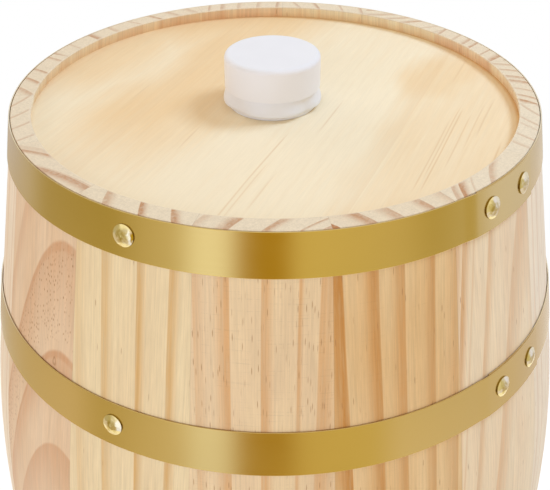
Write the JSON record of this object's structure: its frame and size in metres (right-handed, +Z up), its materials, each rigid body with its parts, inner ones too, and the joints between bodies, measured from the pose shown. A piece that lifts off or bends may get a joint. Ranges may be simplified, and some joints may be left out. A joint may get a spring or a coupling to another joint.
{
  "type": "wooden barrel",
  "caption": "Upright bulged pine barrel with lapped brass hoops, let-in heads, a plastic liner and a screw-capped filler neck in the top head.",
  "frame": {"origin": "centre of the foot circle, on the surface that the barrel stands on", "axes": "+Z up along the barrel's axis, -Y towards the pictured side, +X to the right of it"},
  "size_m": [0.313, 0.313, 0.4699],
  "materials": {
    "stave_pine": "planed, clear sealed",
    "head_pine": "planed, clear sealed",
    "dowel_beech": "turned",
    "hoop_brass": "satin rolled strip",
    "fixing_brass": "polished",
    "liner_plastic": "blow moulded",
    "neck_plastic": "moulded",
    "ring_plastic": "moulded",
    "cap_plastic": "moulded",
    "seal_foam": "soft disc"
  },
  "bodies": {
    "barrel": {"stave_01": "stave_pine", "stave_02": "stave_pine", "stave_03": "stave_pine", "stave_04": "stave_pine", "stave_05": "stave_pine", "stave_06": "stave_pine", "stave_07": "stave_pine", "stave_08": "stave_pine", "stave_09": "stave_pine", "stave_10": "stave_pine", "stave_11": "stave_pine", "stave_12": "stave_pine", "stave_13": "stave_pine", "stave_14": "stave_pine", "stave_15": "stave_pine", "top_head_board_1": "head_pine", "top_head_board_2": "head_pine", "top_head_board_3": "head_pine", "bottom_head_board_1": "head_pine", "bottom_head_board_2": "head_pine", "bottom_head_board_3": "head_pine", "top_head_dowels": "dowel_beech", "bottom_head_dowels": "dowel_beech", "top_end_hoop": "hoop_brass", "top_quarter_hoop": "hoop_brass", "bottom_quarter_hoop": "hoop_brass", "bottom_end_hoop": "hoop_brass", "top_end_rivets": "fixing_brass", "top_quarter_rivets": "fixing_brass", "bottom_quarter_rivets": "fixing_brass", "bottom_end_rivets": "fixing_brass", "top_end_nails": "fixing_brass", "top_quarter_nails": "fixing_brass", "bottom_quarter_nails": "fixing_brass", "bottom_end_nails": "fixing_brass", "liner": "liner_plastic", "filler_neck": "neck_plastic", "lock_ring": "ring_plastic"},
    "seal": {"cap_seal": "seal_foam"},
    "cap": {"cap": "cap_plastic"}
  },
  "joints": [
    {"name": "cap_lift", "type": "slide", "parent": "barrel", "child": "seal", "axis": [0, 0, 1], "range_m": [0, 0.012]},
    {"name": "cap_turn", "type": "hinge", "parent": "seal", "child": "cap", "pos_m": [-0.0012, 0, 0.462], "axis": [0, 0, 1], "range_deg": [0, 1080]}
  ],
  "couplings": [
    {"joint": "cap_lift", "follows": "cap_turn", "m_per_rad": 0.000636}
  ]
}
